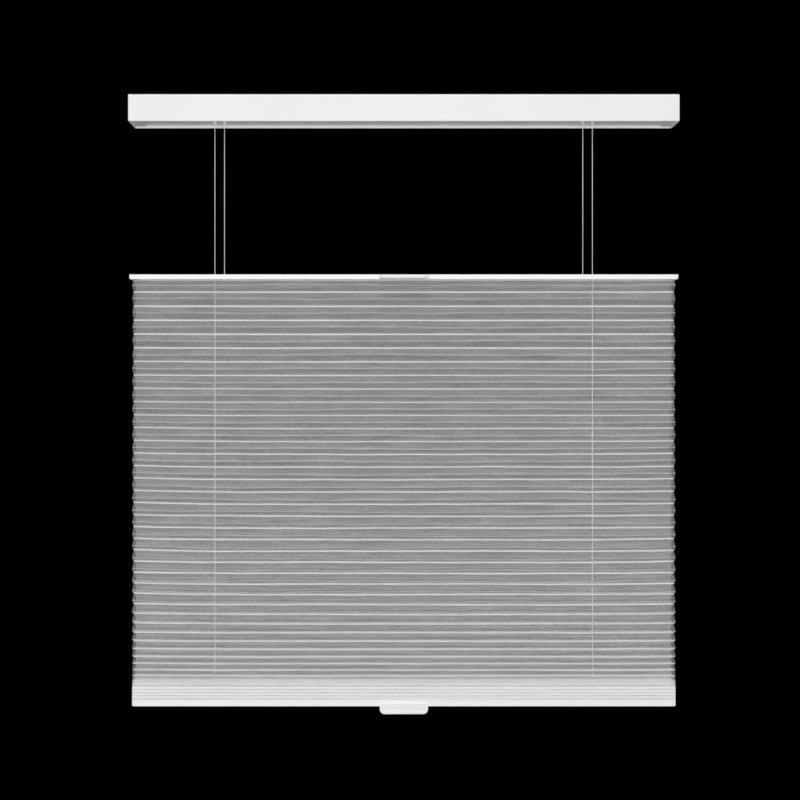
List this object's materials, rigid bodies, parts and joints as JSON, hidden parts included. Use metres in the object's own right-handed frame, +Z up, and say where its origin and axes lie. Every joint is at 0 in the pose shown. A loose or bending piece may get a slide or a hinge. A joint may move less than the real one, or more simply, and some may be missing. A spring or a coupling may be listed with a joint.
{
  "type": "pleated blind",
  "caption": "Cordless top-down bottom-up pleated blind: sheer honeycomb fabric between two sliding rails with grip tabs, hung by lift cords from a headrail.",
  "frame": {"origin": "the middle of the headrail's top, in the plane of its two lips", "axes": "+Z up, +X to the right along the headrail as seen from the room, +Y to the window behind"},
  "size_m": [0.8, 0.059, 0.8984],
  "materials": {
    "white_enamel": "smooth satin white powder coat",
    "white_plastic": "fine satin moulded white",
    "sheer_fabric": "sheer white spun polyester, pleated and glued into cells",
    "lift_cord": "fine braided white polyester",
    "strip_plastic": "extruded milky strip",
    "black_plastic": "moulded matt black",
    "clear_nylon": "moulded natural white",
    "steel": "bright drawn steel"
  },
  "bodies": {
    "headrail": {"headrail_profile": "white_enamel", "guide_roller_pins": "steel", "headrail_end_cap_left": "white_plastic", "cord_guide_left": "black_plastic", "mid_cord_bush_left": "white_plastic", "mid_cord_left": "lift_cord", "bottom_cord_bush_left": "white_plastic", "bottom_cord_left": "lift_cord", "headrail_end_cap_right": "white_plastic", "cord_guide_right": "black_plastic", "mid_cord_bush_right": "white_plastic", "mid_cord_right": "lift_cord", "bottom_cord_bush_right": "white_plastic", "bottom_cord_right": "lift_cord", "mid_motor_base": "black_plastic", "mid_motor_cover": "black_plastic", "mid_motor_screws": "steel", "mid_motor_axles": "steel", "mid_motor_spring": "steel", "bottom_motor_base": "black_plastic", "bottom_motor_cover": "black_plastic", "bottom_motor_screws": "steel", "bottom_motor_axles": "steel", "bottom_motor_spring": "steel"},
    "mid_rail": {"mid_rail_profile": "white_enamel", "honeycomb_fabric": "sheer_fabric", "mid_rail_fabric_strip": "strip_plastic", "mid_rail_handle": "white_plastic", "mid_rail_end_cap_left": "white_plastic", "mid_rail_grommet_left": "white_plastic", "mid_cord_anchor_left": "white_plastic", "mid_rail_end_cap_right": "white_plastic", "mid_rail_grommet_right": "white_plastic", "mid_cord_anchor_right": "white_plastic"},
    "bottom_rail": {"bottom_rail_profile": "white_enamel", "bottom_rail_fabric_strip": "strip_plastic", "bottom_rail_handle": "white_plastic", "bottom_rail_end_cap_left": "white_plastic", "bottom_cord_anchor_left": "white_plastic", "bottom_rail_end_cap_right": "white_plastic", "bottom_cord_anchor_right": "white_plastic"},
    "mid_cord_roller_left": {"mid_cord_roller_left": "clear_nylon"},
    "bottom_cord_roller_left": {"bottom_cord_roller_left": "clear_nylon"},
    "mid_cord_roller_right": {"mid_cord_roller_right": "clear_nylon"},
    "bottom_cord_roller_right": {"bottom_cord_roller_right": "clear_nylon"},
    "mid_motor_cord_spool": {"mid_motor_cord_spool": "clear_nylon"},
    "mid_motor_spring_spool": {"mid_motor_spring_spool": "clear_nylon"},
    "bottom_motor_cord_spool": {"bottom_motor_cord_spool": "clear_nylon"},
    "bottom_motor_spring_spool": {"bottom_motor_spring_spool": "clear_nylon"}
  },
  "joints": [
    {"name": "mid_rail_slide", "type": "slide", "parent": "headrail", "child": "mid_rail", "axis": [0, 0, 1], "range_m": [-0.52, 0.22], "deforming": ["mid_cord_left", "mid_cord_right"]},
    {"name": "bottom_rail_slide", "type": "slide", "parent": "mid_rail", "child": "bottom_rail", "axis": [0, 0, 1], "range_m": [-0.22, 0.52], "deforming": ["honeycomb_fabric", "bottom_cord_left", "bottom_cord_right"]},
    {"name": "mid_cord_spool_spin", "type": "hinge", "parent": "headrail", "child": "mid_motor_cord_spool", "pos_m": [0.116, 0.0085, -0.0231], "axis": [0, 0, 1], "range_deg": [-2985, 1266]},
    {"name": "mid_spring_spool_spin", "type": "hinge", "parent": "headrail", "child": "mid_motor_spring_spool", "pos_m": [0.144, 0.0085, -0.0272], "axis": [0, 0, 1], "range_deg": [-1094, 2579]},
    {"name": "bottom_cord_spool_spin", "type": "hinge", "parent": "headrail", "child": "bottom_motor_cord_spool", "pos_m": [-0.116, 0.0085, -0.0231], "axis": [0, 0, 1], "range_deg": [-1266, 2985]},
    {"name": "bottom_spring_spool_spin", "type": "hinge", "parent": "headrail", "child": "bottom_motor_spring_spool", "pos_m": [-0.144, 0.0085, -0.0272], "axis": [0, 0, 1], "range_deg": [-2579, 1094]},
    {"name": "mid_cord_roller_spin_left", "type": "hinge", "parent": "headrail", "child": "mid_cord_roller_left", "pos_m": [-0.25655, -0.0085, -0.024], "axis": [0, 1, 0], "range_deg": [-5472, 2318]},
    {"name": "mid_cord_roller_spin_right", "type": "hinge", "parent": "headrail", "child": "mid_cord_roller_right", "pos_m": [0.25655, -0.0085, -0.024], "axis": [0, 1, 0], "range_deg": [-2318, 5472]},
    {"name": "bottom_cord_roller_spin_left", "type": "hinge", "parent": "headrail", "child": "bottom_cord_roller_left", "pos_m": [-0.27055, -0.0085, -0.01045], "axis": [0, 1, 0], "range_deg": [-2318, 5472]},
    {"name": "bottom_cord_roller_spin_right", "type": "hinge", "parent": "headrail", "child": "bottom_cord_roller_right", "pos_m": [0.27055, -0.0085, -0.01045], "axis": [0, 1, 0], "range_deg": [-5472, 2318]}
  ],
  "couplings": [
    {"joint": "mid_cord_spool_spin", "follows": "mid_rail_slide", "rad_per_m": 100},
    {"joint": "mid_spring_spool_spin", "follows": "mid_rail_slide", "rad_per_m": -86.364},
    {"joint": "bottom_cord_spool_spin", "follows": "bottom_rail_slide", "rad_per_m": 100},
    {"joint": "bottom_spring_spool_spin", "follows": "bottom_rail_slide", "rad_per_m": -86.364},
    {"joint": "mid_cord_roller_spin_left", "follows": "mid_rail_slide", "rad_per_m": 183.49},
    {"joint": "mid_cord_roller_spin_right", "follows": "mid_rail_slide", "rad_per_m": -183.49},
    {"joint": "bottom_cord_roller_spin_left", "follows": "bottom_rail_slide", "rad_per_m": 183.49},
    {"joint": "bottom_cord_roller_spin_right", "follows": "bottom_rail_slide", "rad_per_m": -183.49}
  ]
}
